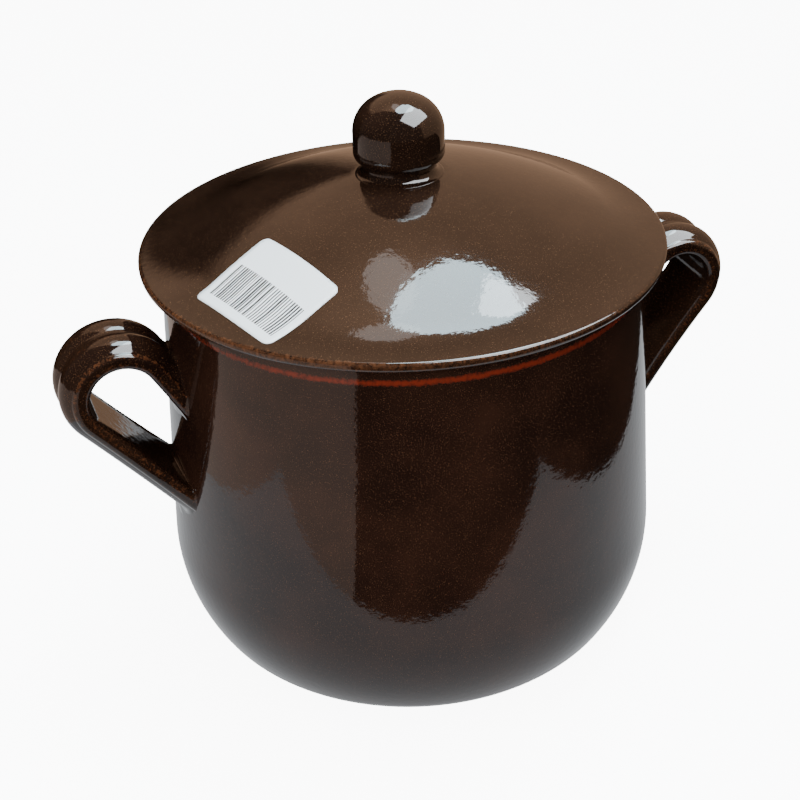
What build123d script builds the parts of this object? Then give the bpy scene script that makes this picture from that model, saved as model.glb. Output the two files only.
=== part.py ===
"""Lidded earthenware cooking pot: a thrown pot with two strap handles, and a loose lid with knob and label.

The frame has +Z up and its origin at the centre of the flat base, on the surface that the pot stands on.
The handles point along +X and -X. All lengths are millimetres and all angles are degrees.
"""

import os
from math import cos, radians, sin, tan

from build123d import *

# The lid's diameter sets the width of the whole pot, because its edge stands out past the pot's neck
LID_D = 180.0
LID_OVERHANG = 7.0

# Pot: a flat base, a rounded corner, a belly, a neck that leans in, and a rounded lip above a sharp arris
POT_H = 146.0
POT_WALL = 7.0
BASE_CORNER_R = 17.5
BELLY_START_ANGLE = 60.0
BELLY_ARC_R = 60.0
NECK_LEAN_ANGLE = 3.3
LIP_H = 7.4
LIP_LEAN_ANGLE = 12.0
LIP_OUTER_R = 3.5
LIP_INNER_R = 1.8

# Lid: a low dome that flares into a brim, with a ring below that keeps it centred in the mouth
LID_EDGE_T = 3.7
LID_EDGE_TOP_R = 1.4
LID_EDGE_UNDER_R = 2.0
LID_WALL = 6.0
BRIM_W = 18.0
BRIM_END_ANGLE = 4.0
DOME_FOOT_ANGLE = 26.0
DOME_TOP_ANGLE = 9.8
RING_CLEARANCE = 2.4
RING_DEPTH = 6.0
RING_T = 5.0
RING_ROUND_R = 1.2

# Knob: a domed head on a short neck that flares out where it meets the lid
KNOB_NECK_R = 12.0
KNOB_FLARE_R = 3.0
KNOB_NECK_H = 4.5
KNOB_HEAD_R = 15.4
KNOB_SIDE_H = 6.6
KNOB_SHOULDER_R = 12.2
KNOB_SHOULDER_ANGLE = 60.0

# Handles: a ribbed strap that rises from the neck, bends over and comes back down to the belly
STRAP_W = 28.0
STRAP_T = 9.0
STRAP_SHOULDER = 2.0
STRAP_GROOVE = 1.2
STRAP_BOW = 1.4
STRAP_EDGE_R = 2.0
BEND_STANDOFF = 19.1
BEND_DROP = 30.5
BEND_R = 15.7
UPPER_ARM_ANGLE = 60.0
LOWER_ARM_ANGLE = 50.0

# Handles: how the strap spreads out over the last stretch before the wall
UPPER_SPREAD_L = 7.0
UPPER_SPREAD_RATIO = 1.08
LOWER_SPREAD_L = 16.0
LOWER_SPREAD_RATIO = 1.25

# Label: a rounded rectangle of paper that follows the lid's slope
LABEL_L = 40.0
LABEL_W = 30.0
LABEL_T = 0.2
LABEL_CORNER_R = 2.6
LABEL_EDGE_GAP = 22.7
LABEL_PLACE_ANGLE = -149.5
LABEL_TURN_ANGLE = -72.0


def heading(angle):
    """A unit step in an outline's plane: 0 points away from the axis and 90 points up."""
    return (cos(radians(angle)), sin(radians(angle)))


def step(point, angle, length):
    """The point that lies a length away along a heading."""
    along = heading(angle)
    return (point[0] + length * along[0], point[1] + length * along[1])


def bend(start, angle, turn, radius):
    """An arc that leaves a point along a heading and turns left, or right if the turn is negative."""
    return JernArc(start, heading(angle), radius, turn)


def end_of(edge):
    """Where an edge of an outline ends, as a plain pair."""
    last = edge @ 1
    return (last.X, last.Y)


def lines(*points):
    """The straight edges that join some points in turn."""
    return [Line(a, b) for a, b in zip(points, points[1:])]


def turned(edges):
    """The solid that an outline makes when it is turned about the pot's axis."""
    return revolve(Plane.XZ * make_face(edges), Axis.Z)


def arc_reach(from_angle, to_angle):
    """How far out and up an arc of unit radius goes as its heading turns left between two angles."""
    out = sin(radians(to_angle)) - sin(radians(from_angle))
    up = cos(radians(from_angle)) - cos(radians(to_angle))
    return out, up


NECK_ANGLE = 90 + NECK_LEAN_ANGLE
CORNER_OUT, CORNER_UP = arc_reach(0, BELLY_START_ANGLE)
BELLY_OUT, BELLY_UP = arc_reach(BELLY_START_ANGLE, NECK_ANGLE)
ARRIS_R = LID_D / 2 - LID_OVERHANG
ARRIS_Z = POT_H - LIP_H
NECK_FOOT_Z = BASE_CORNER_R * CORNER_UP + BELLY_ARC_R * BELLY_UP
NECK_FOOT_R = ARRIS_R + (ARRIS_Z - NECK_FOOT_Z) * tan(radians(NECK_LEAN_ANGLE))
BASE_R = NECK_FOOT_R - BASE_CORNER_R * CORNER_OUT - BELLY_ARC_R * BELLY_OUT


def neck_radius(z):
    """The radius of the neck's outside at a height."""
    return ARRIS_R + (ARRIS_Z - z) * tan(radians(NECK_LEAN_ANGLE))


def wall_curve(inset, top_z):
    """The pot wall's outline from its base up to a height, a distance inside the outer surface."""
    corner = bend((BASE_R, inset), 0, BELLY_START_ANGLE, BASE_CORNER_R - inset)
    belly = bend(end_of(corner), BELLY_START_ANGLE, NECK_ANGLE - BELLY_START_ANGLE, BELLY_ARC_R - inset)
    foot = end_of(belly)
    neck = Line(foot, (foot[0] - (top_z - foot[1]) * tan(radians(NECK_LEAN_ANGLE)), top_z))
    return [corner, belly, neck]


def filled_pot():
    """The pot as a full solid, with its outside shape and no hollow."""
    wall = wall_curve(0, ARRIS_Z)
    arris = end_of(wall[-1])
    curl_rise = LIP_OUTER_R * (1 - sin(radians(LIP_LEAN_ANGLE)))
    slope_h = LIP_H - curl_rise
    slope_end = (arris[0] - slope_h * tan(radians(LIP_LEAN_ANGLE)), arris[1] + slope_h)
    curl = bend(slope_end, 90 + LIP_LEAN_ANGLE, 90 - LIP_LEAN_ANGLE, LIP_OUTER_R)
    closing = lines(end_of(curl), (0, POT_H), (0, 0), (BASE_R, 0))
    return turned([*wall, Line(arris, slope_end), curl, *closing])


def pot_hollow():
    """The space inside the pot, up to the rim."""
    wall = wall_curve(POT_WALL, POT_H)
    return turned([*wall, *lines(end_of(wall[-1]), (0, POT_H), (0, POT_WALL), (BASE_R, POT_WALL))])


def make_pot():
    """The thrown pot: one wall with a flat base, and a lip whose inner edge is rounded."""
    pot = filled_pot() - pot_hollow()
    mouth = pot.edges().filter_by(GeomType.CIRCLE).group_by(Axis.Z)[-1].sort_by(SortBy.RADIUS)[0]
    return fillet(mouth, LIP_INNER_R)


MOUTH_R = end_of(wall_curve(POT_WALL, POT_H)[-1])[0]
RING_R = MOUTH_R - RING_CLEARANCE
KNOB_FOOT_R = KNOB_NECK_R + KNOB_FLARE_R


DOME_OUT, DOME_UP = arc_reach(DOME_TOP_ANGLE, DOME_FOOT_ANGLE)
BRIM_OUT, BRIM_UP = arc_reach(BRIM_END_ANGLE, DOME_FOOT_ANGLE)
DOME_FOOT_R = LID_D / 2 - BRIM_W
BRIM_END_R = LID_D / 2 - LID_EDGE_TOP_R * (1 - sin(radians(BRIM_END_ANGLE)))
DOME_ARC_R = (DOME_FOOT_R - KNOB_FOOT_R) / DOME_OUT
BRIM_ARC_R = (BRIM_END_R - DOME_FOOT_R) / BRIM_OUT
LID_TOP_Z = POT_H + LID_EDGE_T + DOME_ARC_R * DOME_UP + BRIM_ARC_R * BRIM_UP


def lid_curve(lift):
    """The lid's upper outline from the knob's foot out to its edge, raised square to the surface."""
    start = step((KNOB_FOOT_R, LID_TOP_Z), 90 - DOME_TOP_ANGLE, lift)
    dome = bend(start, -DOME_TOP_ANGLE, DOME_TOP_ANGLE - DOME_FOOT_ANGLE, DOME_ARC_R + lift)
    brim = bend(end_of(dome), -DOME_FOOT_ANGLE, DOME_FOOT_ANGLE - BRIM_END_ANGLE, BRIM_ARC_R - lift)
    return [dome, brim]


def lid_hollow():
    """The space under the lid's dome, inside its ring."""
    dome = lid_curve(-LID_WALL)[0]
    first = dome @ 0
    foot = end_of(dome)
    below_z = POT_H - 2 * RING_DEPTH
    under = [dome, *lines(foot, (foot[0], below_z), (0, below_z), (0, first.Y), (first.X, first.Y))]
    core_h = 2 * (LID_TOP_Z - below_z)
    return turned(under) & Pos(0, 0, below_z) * Cylinder(RING_R - RING_T, core_h)


def make_lid():
    """The lid: dome, brim and rounded edge, hollow underneath, with the ring that drops into the mouth."""
    top = lid_curve(0)
    over = bend(end_of(top[-1]), -BRIM_END_ANGLE, BRIM_END_ANGLE - 90, LID_EDGE_TOP_R)
    side = Line(end_of(over), (LID_D / 2, POT_H + LID_EDGE_UNDER_R))
    under = bend(end_of(side), -90, -90, LID_EDGE_UNDER_R)
    closing = lines(end_of(under), (0, POT_H), (0, LID_TOP_Z), (KNOB_FOOT_R, LID_TOP_Z))
    plate = turned([*top, over, side, under, *closing])
    ring = Pos(0, 0, POT_H - RING_DEPTH / 2) * Cylinder(RING_R, RING_DEPTH)
    lid = plate + ring - lid_hollow()
    ring_edges = lid.edges().filter_by(GeomType.CIRCLE).group_by(Axis.Z)[0]
    return fillet(ring_edges, RING_ROUND_R)


def make_knob():
    """The knob: a flared neck, a rounded underside, a short upright side and a domed top."""
    flare = bend((KNOB_FOOT_R, LID_TOP_Z), 180, -90, KNOB_FLARE_R)
    neck = Line(end_of(flare), (KNOB_NECK_R, LID_TOP_Z + KNOB_NECK_H))
    underside = bend(end_of(neck), 0, 90, KNOB_HEAD_R - KNOB_NECK_R)
    side_foot = end_of(underside)
    side = Line(side_foot, (side_foot[0], side_foot[1] + KNOB_SIDE_H))
    shoulder = bend(end_of(side), 90, KNOB_SHOULDER_ANGLE, KNOB_SHOULDER_R)
    crown_turn = 90 - KNOB_SHOULDER_ANGLE
    crown_r = end_of(shoulder)[0] / sin(radians(crown_turn))
    crown = bend(end_of(shoulder), 180 - crown_turn, crown_turn, crown_r)
    crown_top = end_of(crown)
    closing = lines((0, crown_top[1]), (0, LID_TOP_Z), (KNOB_FOOT_R, LID_TOP_Z))
    return turned([flare, neck, underside, side, shoulder, crown, *closing])


def strap_section(spread):
    """The strap's cross-section: two ribs divided by a groove outside, and a shallow bow inside."""
    half_w = spread * STRAP_W / 2
    crest = spread * STRAP_T / 2
    shoulder = crest - STRAP_SHOULDER
    heel = STRAP_BOW - crest
    groove = (0, crest - STRAP_GROOVE)
    outline = [
        ThreePointArc((-half_w, shoulder), (-half_w / 2, crest), groove),
        ThreePointArc(groove, (half_w / 2, crest), (half_w, shoulder)),
        Line((half_w, shoulder), (half_w, heel)),
        ThreePointArc((half_w, heel), (0, -crest), (-half_w, heel)),
        Line((-half_w, heel), (-half_w, shoulder)),
    ]
    face = make_face(outline)
    return fillet(face.vertices(), STRAP_EDGE_R)


def across(point, angle):
    """The plane that cuts the strap square where its centre line passes a point along a heading."""
    along = heading(angle)
    return Plane(origin=(point[0], 0, point[1]), x_dir=(0, 1, 0), z_dir=(along[0], 0, along[1]))


def spread_end(start, angle, spread_l, sunk_l, ratio):
    """The stretch of strap that widens evenly up to the wall, and goes on widening into it."""
    end = step(start, angle, spread_l + sunk_l)
    end_ratio = 1 + (ratio - 1) * (spread_l + sunk_l) / spread_l
    return loft([across(start, angle) * strap_section(1), across(end, angle) * strap_section(end_ratio)])


def way_to_wall(point, angle):
    """How far a point is from the neck's outside along a heading that goes in and down."""
    along = heading(angle)
    lean = tan(radians(NECK_LEAN_ANGLE))
    return (neck_radius(point[1]) - point[0]) / (along[0] + along[1] * lean)


def make_handle(outside):
    """The handle on the +X side, trimmed to lie against the pot's outside."""
    bend_z = POT_H - BEND_DROP
    bend_centre = (neck_radius(bend_z) + BEND_STANDOFF, bend_z)
    upper_heading = UPPER_ARM_ANGLE - 180
    lower_heading = LOWER_ARM_ANGLE - 180
    bend_start = step(bend_centre, UPPER_ARM_ANGLE + 90, BEND_R)
    over = bend(bend_start, UPPER_ARM_ANGLE, lower_heading - UPPER_ARM_ANGLE, BEND_R)
    bend_end = end_of(over)
    upper_start = step(bend_start, upper_heading, way_to_wall(bend_start, upper_heading) - UPPER_SPREAD_L)
    lower_start = step(bend_end, lower_heading, way_to_wall(bend_end, lower_heading) - LOWER_SPREAD_L)
    path = Wire([Line(upper_start, bend_start), over, Line(bend_end, lower_start)])
    strap = sweep(across(upper_start, UPPER_ARM_ANGLE) * strap_section(1), path=Plane.XZ * path)
    upper_sunk_l = STRAP_T / cos(radians(UPPER_ARM_ANGLE))
    lower_sunk_l = STRAP_T / cos(radians(LOWER_ARM_ANGLE))
    upper = spread_end(upper_start, upper_heading, UPPER_SPREAD_L, upper_sunk_l, UPPER_SPREAD_RATIO)
    lower = spread_end(lower_start, lower_heading, LOWER_SPREAD_L, lower_sunk_l, LOWER_SPREAD_RATIO)
    return strap + upper + lower - outside


def make_label():
    """The paper label: a thin skin over the lid's upper surface, cut to a rounded rectangle."""
    low = lid_curve(0)
    high = lid_curve(LABEL_T)
    first = high[0] @ 0
    inner = Line((KNOB_FOOT_R, LID_TOP_Z), (first.X, first.Y))
    outer = Line(end_of(low[-1]), end_of(high[-1]))
    skin = turned([*low, outer, *high, inner])
    slope = (DOME_FOOT_ANGLE + DOME_TOP_ANGLE) / 2
    outline = RectangleRounded(LABEL_L, LABEL_W * cos(radians(slope)), LABEL_CORNER_R)
    centre = step((0, 0), LABEL_PLACE_ANGLE, LID_D / 2 - LABEL_EDGE_GAP)
    place = Pos(*centre, POT_H) * Rot(0, 0, LABEL_TURN_ANGLE)
    return skin & place * extrude(outline, LID_TOP_Z - POT_H)


outside = filled_pot()
handle = make_handle(outside)
parts = {
    "pot_body": make_pot(),
    "handle_right": handle,
    "handle_left": Rot(0, 0, 180) * handle,
    "lid_plate": make_lid(),
    "lid_knob": make_knob(),
    "price_label": make_label(),
}
os.makedirs("parts", exist_ok=True)
for name, piece in parts.items():
    export_step(piece, f"parts/{name}.step")
    print(name, "solids", len(piece.solids()), "volume", round(piece.volume), piece.bounding_box())
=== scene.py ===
# %% [markdown]
# A glazed earthenware pot with a loose lid is turned work: almost every piece is an outline that goes once
# round an axis. This lesson draws those outlines with arcs and lines, spins them, bends two strap handles,
# and then spends its care on the glaze, because a dark gloss shows every facet and every flaw of a shape.

# %% Load the frame
from math import asin, atan2, cos, degrees, hypot, pi, radians, sin, sqrt, tan

import bmesh
import bpy
from mathutils import Matrix, Vector


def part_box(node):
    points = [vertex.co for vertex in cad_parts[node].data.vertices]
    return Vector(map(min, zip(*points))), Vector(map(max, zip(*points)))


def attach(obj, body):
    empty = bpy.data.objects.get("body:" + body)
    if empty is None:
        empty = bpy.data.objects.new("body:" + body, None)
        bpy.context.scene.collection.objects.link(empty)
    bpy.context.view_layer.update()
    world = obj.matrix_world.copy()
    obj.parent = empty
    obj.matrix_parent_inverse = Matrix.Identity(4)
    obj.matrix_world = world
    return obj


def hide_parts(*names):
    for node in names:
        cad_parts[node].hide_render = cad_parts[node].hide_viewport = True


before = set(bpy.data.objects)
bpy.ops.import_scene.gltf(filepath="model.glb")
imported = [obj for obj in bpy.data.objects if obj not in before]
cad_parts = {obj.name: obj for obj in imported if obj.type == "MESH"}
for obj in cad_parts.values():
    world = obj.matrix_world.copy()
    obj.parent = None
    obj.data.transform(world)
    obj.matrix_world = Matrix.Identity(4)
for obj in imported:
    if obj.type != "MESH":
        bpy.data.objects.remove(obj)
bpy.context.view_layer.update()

print("frame nodes:", sorted(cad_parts))

# %% [markdown]
# The outlines are drawn in millimetres, as a potter would measure them, and each finished mesh is scaled to
# metres once. The main sizes come from the frame, so the pieces stay where the solid model puts them.

# %% Sizes from the frame
MM = 0.001
LID_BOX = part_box("lid_plate")
POT_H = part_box("pot_body")[1][2] / MM
LID_R = LID_BOX[1][1] / MM
LID_TOP_Z = LID_BOX[1][2] / MM

# %% [markdown]
# A pen that walks along an outline is easier to read than a list of points: it goes straight on, or it
# turns along an arc. The spin operator draws the arc, because spinning one vertex leaves a trail of edges
# behind it. The last number of each stroke says how many edges it has. A short trial shows where the pen
# ends up.


# %% Outline pen
def heading(angle):
    """The direction in the XZ plane at an angle above the X axis."""
    return Vector((cos(radians(angle)), 0, sin(radians(angle))))


class Pen:
    """Draws an outline in the XZ plane: x is the distance from the pot's axis and z is the height."""

    def __init__(self, mesh, x, z):
        self.mesh = mesh
        self.tip = mesh.verts.new((x, 0, z))
        self.angle = 0.0

    def line_to(self, x, z, steps=1):
        """Draws a straight line to a point and faces along it."""
        start, end = self.tip.co.copy(), Vector((x, 0, z))
        self.angle = degrees(atan2(z - start.z, x - start.x))
        for number in range(1, steps + 1):
            self.tip = bmesh.ops.extrude_vert_indiv(self.mesh, verts=[self.tip])["verts"][0]
            self.tip.co = start.lerp(end, number / steps)
        return self

    def face(self, angle):
        """Turns on the spot."""
        self.angle = angle
        return self

    def arc(self, radius, turn, steps):
        """Draws an arc that turns left by an angle, or right if the angle is negative."""
        side = 1 if turn > 0 else -1
        centre = self.tip.co + radius * heading(self.angle + 90 * side)
        trail = bmesh.ops.spin(
            self.mesh, geom=[self.tip], cent=centre, axis=(0, -1, 0), angle=radians(turn), steps=steps
        )
        self.tip = [item for item in trail["geom_last"] if isinstance(item, bmesh.types.BMVert)][0]
        self.angle += turn
        return self


trial = bmesh.new()
trial_end = Pen(trial, 0, 0).line_to(10, 0).arc(5, 90, 8).tip.co
print(f"a line of 10 and a quarter turn of radius 5 end at {trial_end.x:.1f}, {trial_end.z:.1f}")
trial.free()

# %% [markdown]
# Turning an outline is one spin of its edges through a full circle. The points on the axis become poles, so
# doubles are merged there, and the normals are worked out again because a spin can leave a shape inside
# out. The number of steps is chosen so that no facet of the rim can be seen.

# %% Potter's wheel
ROUND_STEPS = 144
WELD = 0.0005


def turn_on_wheel(mesh, steps=ROUND_STEPS):
    """Spins everything drawn so far about the pot's axis and closes the poles."""
    bmesh.ops.spin(
        mesh,
        geom=mesh.verts[:] + mesh.edges[:],
        cent=(0, 0, 0),
        axis=(0, 0, 1),
        angle=2 * pi,
        steps=steps,
        use_merge=True,
    )
    bmesh.ops.remove_doubles(mesh, verts=mesh.verts, dist=WELD)
    bmesh.ops.dissolve_degenerate(mesh, edges=mesh.edges, dist=WELD)
    bmesh.ops.recalc_face_normals(mesh, faces=mesh.faces)


facet_sag = LID_R * (1 - cos(pi / ROUND_STEPS))
print(f"{ROUND_STEPS} facets round the lid lie at most {facet_sag:.3f} mm inside its true circle")

# %% [markdown]
# Every finished piece goes the same way: its mesh is scaled to metres, shaded smooth, given its materials,
# and told which moving body it rides on, and the solid it stands in for is hidden. The object itself stays
# at the origin.


# %% Finished pieces
def finish_piece(name, mesh, body, nodes, materials):
    """Turns a bmesh in millimetres into a smooth object in metres that rides on a body."""
    bmesh.ops.scale(mesh, vec=(MM, MM, MM), verts=mesh.verts)
    data = bpy.data.meshes.new(name)
    mesh.to_mesh(data)
    mesh.free()
    for material in materials:
        data.materials.append(material)
    for polygon in data.polygons:
        polygon.use_smooth = True
    piece = bpy.data.objects.new(name, data)
    bpy.context.scene.collection.objects.link(piece)
    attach(piece, body)
    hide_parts(*nodes)
    print(f"{name}: {len(data.vertices)} points, {len(data.polygons)} faces")


print("a piece is drawn in millimetres and scaled by", MM)

# %% [markdown]
# A material is a tree of nodes. By hand they are wired in the shader editor. A script does it with a few
# helpers that take either a socket, which they link, or a plain value, which they set. A small sum shows
# them at work.


# %% Node helpers
def feed(tree, socket, value):
    """Links an output to a socket, or sets the socket to a plain value."""
    if isinstance(value, bpy.types.NodeSocket):
        tree.links.new(value, socket)
    else:
        socket.default_value = value


def feed_all(tree, node, inputs):
    """Feeds a node's inputs by name, with underscores for the spaces in the names."""
    for name, value in inputs.items():
        feed(tree, node.inputs[name.replace("_", " ")], value)
    return node


def add_node(tree, kind, **inputs):
    """Adds a node and feeds some of its inputs."""
    return feed_all(tree, tree.nodes.new(kind), inputs)


def calculate(tree, operation, *values):
    """Adds a maths node and returns its result."""
    node = tree.nodes.new("ShaderNodeMath")
    node.operation = operation
    for socket, value in zip(node.inputs, values):
        feed(tree, socket, value)
    return node.outputs[0]


trial_tree = bpy.data.node_groups.new("trial", "ShaderNodeTree")
calculate(trial_tree, "MULTIPLY", calculate(trial_tree, "ADD", 1.0, 2.0), 3.0)
print(f"a sum of two steps: {len(trial_tree.nodes)} nodes, {len(trial_tree.links)} link")
bpy.data.node_groups.remove(trial_tree)

# %% [markdown]
# More helpers stand for the steps that the finishes here take: a noise gives a value that wanders over the
# surface, a ramp turns it into a mask or a colour, and a mix lays one colour over another by a mask. The
# mix node keeps a set of sockets for each kind of data, so the ones for colours are picked by number. The
# last helper starts a material and sets what is the same all over it.

# %% Colour helpers
BLACK, WHITE = (0, 0, 0), (1, 1, 1)
MIX_SHARE, MIX_FIRST, MIX_SECOND, MIX_RESULT = 0, 6, 7, 2


def ramp(tree, value, low, high, first=BLACK, second=WHITE):
    """Adds a ramp from one colour at a low value to another at a high one, and returns its colour."""
    node = add_node(tree, "ShaderNodeValToRGB", Fac=value)
    for element, place, colour in zip(node.color_ramp.elements, (low, high), (first, second)):
        element.position = place
        element.color = (*colour, 1)
    return node.outputs["Color"]


def mix_colour(tree, share, first, second):
    """Adds a node that mixes two colours, and returns the mix."""
    node = tree.nodes.new("ShaderNodeMix")
    node.data_type = "RGBA"
    for number, value in ((MIX_SHARE, share), (MIX_FIRST, first), (MIX_SECOND, second)):
        feed(tree, node.inputs[number], value)
    return node.outputs[MIX_RESULT]


def noise(tree, place, scale, detail, roughness):
    """Adds a noise texture and returns its value."""
    settings = {"Vector": place, "Scale": scale, "Detail": detail, "Roughness": roughness}
    return add_node(tree, "ShaderNodeTexNoise", **settings).outputs["Fac"]


def new_material(name, **inputs):
    """Makes a material, sets some inputs of its shader, and returns it with its tree and shader."""
    material = bpy.data.materials.new(name)
    material.use_nodes = True
    tree = material.node_tree
    return material, tree, feed_all(tree, tree.nodes["Principled BSDF"], inputs)


print(f"a ramp goes from {BLACK} to {WHITE} unless it is given other colours")

# %% [markdown]
# The glaze is a brown glass over red clay. Where it lies thick it is nearly black, and it runs thin on
# sharp edges, where the clay shows through as copper and red. Each piece marks those edges in a point
# attribute, and one node group turns that mark, a fine speckle and a slow change of tone into a colour. A
# group is built once and placed in each material with its own colours.

# %% Glaze colour group
GLAZE_TONES = ("Thick Colour", "Cloud Colour", "Speck Colour", "Thin Colour")
CLOUD_SCALE, CLOUD_FROM, CLOUD_FULL = 38.0, 0.38, 0.68
SPECK_SCALE, SPECK_FROM, SPECK_FULL = 2400.0, 0.60, 0.74
WEAR_SCALE, WEAR_FROM, WEAR_FULL = 800.0, 0.62, 1.0
RAGGEDNESS = 0.9
PEEL_SCALE = 420.0


def glaze_colour_group():
    """Thick glaze with slow clouds and fine speckle, running to clay red where it is thin."""
    tree = bpy.data.node_groups.new("glaze colour", "ShaderNodeTree")
    tree.interface.new_socket(name="Place", in_out="INPUT", socket_type="NodeSocketVector")
    tree.interface.new_socket(name="Thin", in_out="INPUT", socket_type="NodeSocketFloat")
    for tone in GLAZE_TONES:
        tree.interface.new_socket(name=tone, in_out="INPUT", socket_type="NodeSocketColor")
    tree.interface.new_socket(name="Colour", in_out="OUTPUT", socket_type="NodeSocketColor")
    tree.interface.new_socket(name="Orange Peel", in_out="OUTPUT", socket_type="NodeSocketFloat")
    come_in = tree.nodes.new("NodeGroupInput").outputs
    place = come_in["Place"]

    clouds = noise(tree, place, CLOUD_SCALE, detail=3.0, roughness=0.55)
    specks = noise(tree, place, SPECK_SCALE, detail=1.0, roughness=0.6)
    ragged = noise(tree, place, WEAR_SCALE, detail=3.0, roughness=0.65)
    peel = noise(tree, place, PEEL_SCALE, detail=2.0, roughness=0.5)
    wear = calculate(tree, "MULTIPLY_ADD", ragged, RAGGEDNESS, come_in["Thin"])
    thick, cloud, speck, thin = (come_in[tone] for tone in GLAZE_TONES)
    colour = mix_colour(tree, ramp(tree, clouds, CLOUD_FROM, CLOUD_FULL), thick, cloud)
    colour = mix_colour(tree, ramp(tree, specks, SPECK_FROM, SPECK_FULL), colour, speck)
    colour = mix_colour(tree, ramp(tree, wear, WEAR_FROM, WEAR_FULL), colour, thin)
    add_node(tree, "NodeGroupOutput", Colour=colour, Orange_Peel=peel)
    return tree


GLAZE_COLOUR = glaze_colour_group()
print("glaze colour group:", len(GLAZE_COLOUR.nodes), "nodes")

# %% [markdown]
# The pot, the lid and the handles each came out of the kiln a little different: thin glaze is copper on the
# lid and handles and brick red along the pot's rim. So each has its own material. The gloss is the shader's
# own, and a very shallow bump gives the slight orange peel that frays the edges of reflections.

# %% Glaze materials
GLAZE_ROUGHNESS = 0.06
GLAZE_IOR = 1.5
PEEL_DEPTH = 0.00004
THIN_MARK = "thin"


def glaze(name, **colours):
    """A glossy brown glaze material with its own set of colours."""
    material, tree, shader = new_material(name, Roughness=GLAZE_ROUGHNESS, IOR=GLAZE_IOR)
    mark = tree.nodes.new("ShaderNodeAttribute")
    mark.attribute_name = THIN_MARK
    group = tree.nodes.new("ShaderNodeGroup")
    group.node_tree = GLAZE_COLOUR
    place = tree.nodes.new("ShaderNodeTexCoord").outputs["Object"]
    feed_all(tree, group, {"Place": place, "Thin": mark.outputs["Fac"], **colours})
    peel = group.outputs["Orange Peel"]
    bump = add_node(tree, "ShaderNodeBump", Strength=1.0, Distance=PEEL_DEPTH, Height=peel)
    feed_all(tree, shader, {"Base Color": group.outputs["Colour"], "Normal": bump.outputs["Normal"]})
    return material


POT_GLAZE = glaze(
    "pot glaze",
    Thick_Colour=(0.015, 0.0066, 0.0045, 1),
    Cloud_Colour=(0.031, 0.013, 0.008, 1),
    Speck_Colour=(0.070, 0.033, 0.018, 1),
    Thin_Colour=(0.17, 0.022, 0.010, 1),
)
LID_GLAZE = glaze(
    "lid glaze",
    Thick_Colour=(0.009, 0.0043, 0.0028, 1),
    Cloud_Colour=(0.016, 0.0076, 0.0047, 1),
    Speck_Colour=(0.06, 0.031, 0.016, 1),
    Thin_Colour=(0.11, 0.043, 0.019, 1),
)
HANDLE_GLAZE = glaze(
    "handle glaze",
    Thick_Colour=(0.009, 0.004, 0.0027, 1),
    Cloud_Colour=(0.018, 0.008, 0.0045, 1),
    Speck_Colour=(0.07, 0.033, 0.016, 1),
    Thin_Colour=(0.13, 0.045, 0.018, 1),
)
print("glazes that share one colour group:", GLAZE_COLOUR.users)

# %% [markdown]
# The pot stands on bare clay: a glazed foot would stick to the kiln shelf. It is a plain matt terracotta
# with a grain, so one noise and one colour ramp are enough.

# %% Bare clay
CLAY_ROUGHNESS = 0.85
CLAY_GRAIN_SCALE, CLAY_GRAIN_FROM, CLAY_GRAIN_FULL = 220.0, 0.3, 0.7
CLAY_DARK, CLAY_PALE = (0.30, 0.10, 0.05), (0.44, 0.17, 0.09)


def bare_clay():
    """Matt terracotta with a fine grain."""
    material, tree, shader = new_material("bare clay", Roughness=CLAY_ROUGHNESS)
    place = tree.nodes.new("ShaderNodeTexCoord").outputs["Object"]
    grain = noise(tree, place, CLAY_GRAIN_SCALE, detail=4.0, roughness=0.6)
    colour = ramp(tree, grain, CLAY_GRAIN_FROM, CLAY_GRAIN_FULL, CLAY_DARK, CLAY_PALE)
    feed(tree, shader.inputs["Base Color"], colour)
    return material


BARE_CLAY = bare_clay()
print("made", BARE_CLAY.name)

# %% [markdown]
# The pot's outside is a flat base, a tight arc, a wide arc for the belly, a neck that leans in a little and
# a short lip that leans in more, with a sharp edge called an arris between them. The arcs run into one
# another without a corner, so the base's radius follows from the rest.

# %% Pot sizes
POT_WALL = 7.0
LID_OVERHANG = 7.0
BASE_CORNER_R = 17.5
BELLY_START_ANGLE = 60.0
BELLY_ARC_R = 60.0
NECK_LEAN = 3.3
LIP_H = 7.4
LIP_LEAN = 12.0
LIP_OUTER_R = 3.5
LIP_INNER_R = 1.8
ARRIS_R = LID_R - LID_OVERHANG
ARRIS_Z = POT_H - LIP_H
NECK_ANGLE = 90 + NECK_LEAN


def arc_reach(from_angle, to_angle):
    """How far out and up an arc of unit radius goes as its heading turns left between two angles."""
    out = sin(radians(to_angle)) - sin(radians(from_angle))
    up = cos(radians(from_angle)) - cos(radians(to_angle))
    return out, up


CORNER_OUT, CORNER_UP = arc_reach(0, BELLY_START_ANGLE)
BELLY_OUT, BELLY_UP = arc_reach(BELLY_START_ANGLE, NECK_ANGLE)
NECK_FOOT_Z = BASE_CORNER_R * CORNER_UP + BELLY_ARC_R * BELLY_UP
NECK_FOOT_R = ARRIS_R + (ARRIS_Z - NECK_FOOT_Z) * tan(radians(NECK_LEAN))
BASE_R = NECK_FOOT_R - BASE_CORNER_R * CORNER_OUT - BELLY_ARC_R * BELLY_OUT
print(f"base radius {BASE_R:.1f}, belly joins the neck at {NECK_FOOT_R:.1f}, {NECK_FOOT_Z:.1f} mm")

# %% [markdown]
# The pot is one wall drawn round both its faces: up the outside, over the lip, and down the inside to the
# floor. Concentric arcs keep the wall even, as a thrower's two hands do.

# %% Pot outline
ARRIS_BAND_H = 2.4
ARRIS_BAND_OUT = 0.15


def neck_radius(z, inset=0.0):
    """The neck's radius at a height, on a surface inside the outer one."""
    return ARRIS_R + (ARRIS_Z - z) * tan(radians(NECK_LEAN)) - inset / cos(radians(NECK_LEAN))


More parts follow.
